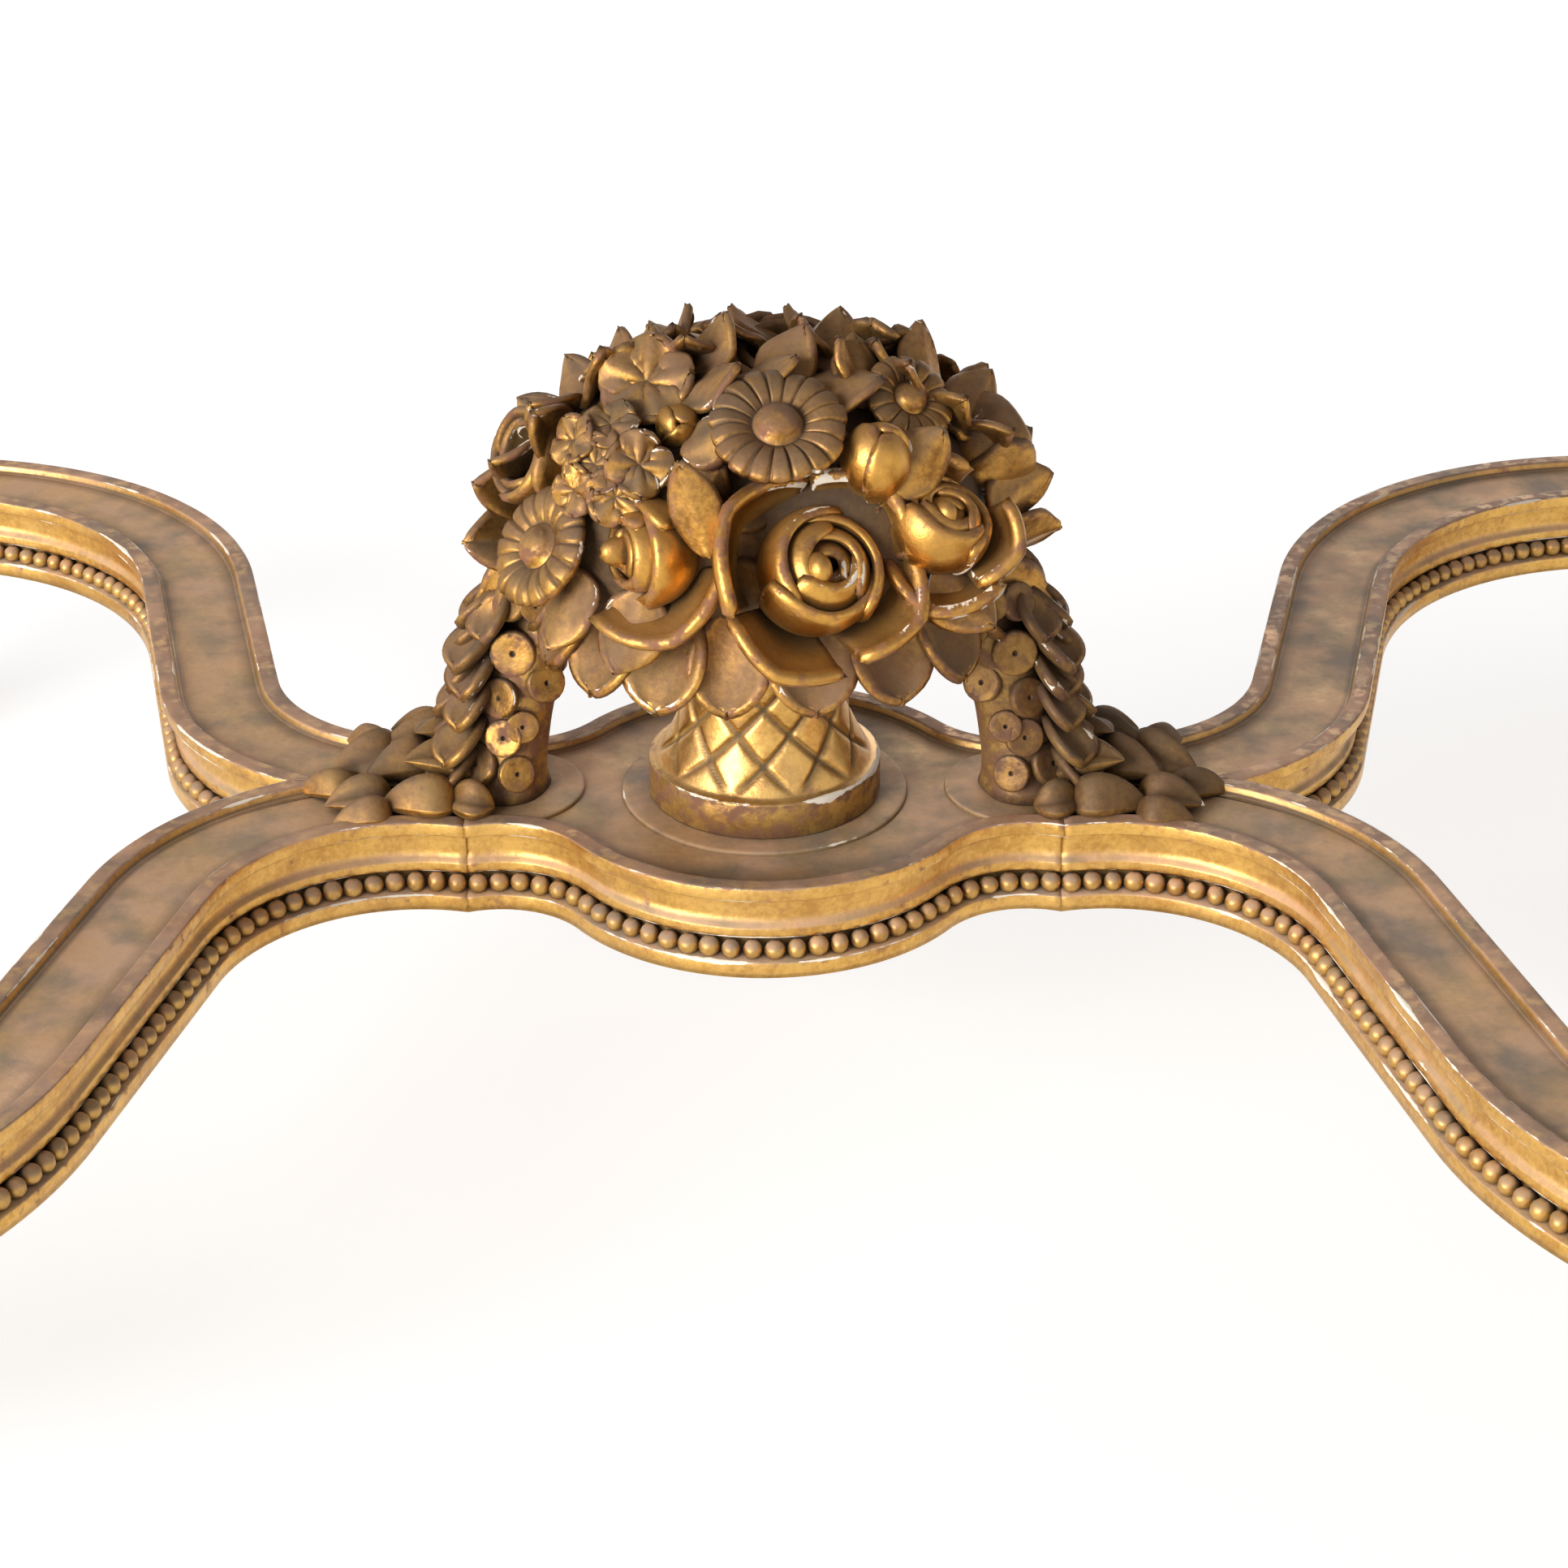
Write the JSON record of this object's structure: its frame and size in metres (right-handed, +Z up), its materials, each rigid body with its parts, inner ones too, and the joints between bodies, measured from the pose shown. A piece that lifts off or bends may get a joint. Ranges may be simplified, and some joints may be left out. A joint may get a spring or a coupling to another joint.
{
  "type": "center table",
  "caption": "Gilded neoclassical center table with a marble top, fluted legs and a beaded cross stretcher that carries a carved basket of flowers.",
  "frame": {"origin": "on the floor under the middle of the table", "axes": "+Z up, +X along the length, -Y to the front"},
  "size_m": [1.1302, 0.816, 0.775],
  "materials": {
    "gilded_wood": "water gilding over red bole and gesso on carved wood, worn on the edges, dusty in the hollows",
    "marble": "polished veined marble",
    "oak": "bare sawn wood, darkened with age",
    "steel": "dull wood screws"
  },
  "bodies": {
    "root": {"apron_beads": "gilded_wood", "apron_front": "gilded_wood", "apron_left": "gilded_wood", "apron_pegs": "oak", "apron_rear": "gilded_wood", "apron_right": "gilded_wood", "bearer_left": "oak", "bearer_right": "oak", "bouquet_core": "gilded_wood", "bouquet_leaves": "gilded_wood", "brace_screws": "steel", "buds_edge": "gilded_wood", "buds_near": "gilded_wood", "corner_braces": "oak", "daisy_crown": "gilded_wood", "daisy_rear_crown": "gilded_wood", "daisy_rear_side": "gilded_wood", "daisy_rear_upper": "gilded_wood", "daisy_side": "gilded_wood", "daisy_upper": "gilded_wood", "garland_dowels": "oak", "garland_left": "gilded_wood", "garland_right": "gilded_wood", "garland_scales_left": "gilded_wood", "garland_scales_right": "gilded_wood", "leaf_spray_left": "gilded_wood", "leaf_spray_right": "gilded_wood", "leg_front_left": "gilded_wood", "leg_front_right": "gilded_wood", "leg_rear_left": "gilded_wood", "leg_rear_right": "gilded_wood", "leg_rosettes": "gilded_wood", "marble_top": "marble", "rose_front": "gilded_wood", "rose_left": "gilded_wood", "rose_rear_front": "gilded_wood", "rose_rear_left": "gilded_wood", "rose_rear_right": "gilded_wood", "rose_right": "gilded_wood", "skirt_petals": "gilded_wood", "stretcher_arm_front_left": "gilded_wood", "stretcher_arm_front_right": "gilded_wood", "stretcher_arm_rear_left": "gilded_wood", "stretcher_arm_rear_right": "gilded_wood", "stretcher_beads_front_left": "gilded_wood", "stretcher_beads_front_right": "gilded_wood", "stretcher_beads_rear_left": "gilded_wood", "stretcher_beads_rear_right": "gilded_wood", "stretcher_block": "gilded_wood", "stretcher_block_beads": "gilded_wood", "stretcher_dowels": "oak", "stretcher_pegs": "oak", "trumpets_high": "gilded_wood", "trumpets_low": "gilded_wood", "vase": "gilded_wood", "vase_spigot": "oak"}
  },
  "joints": []
}
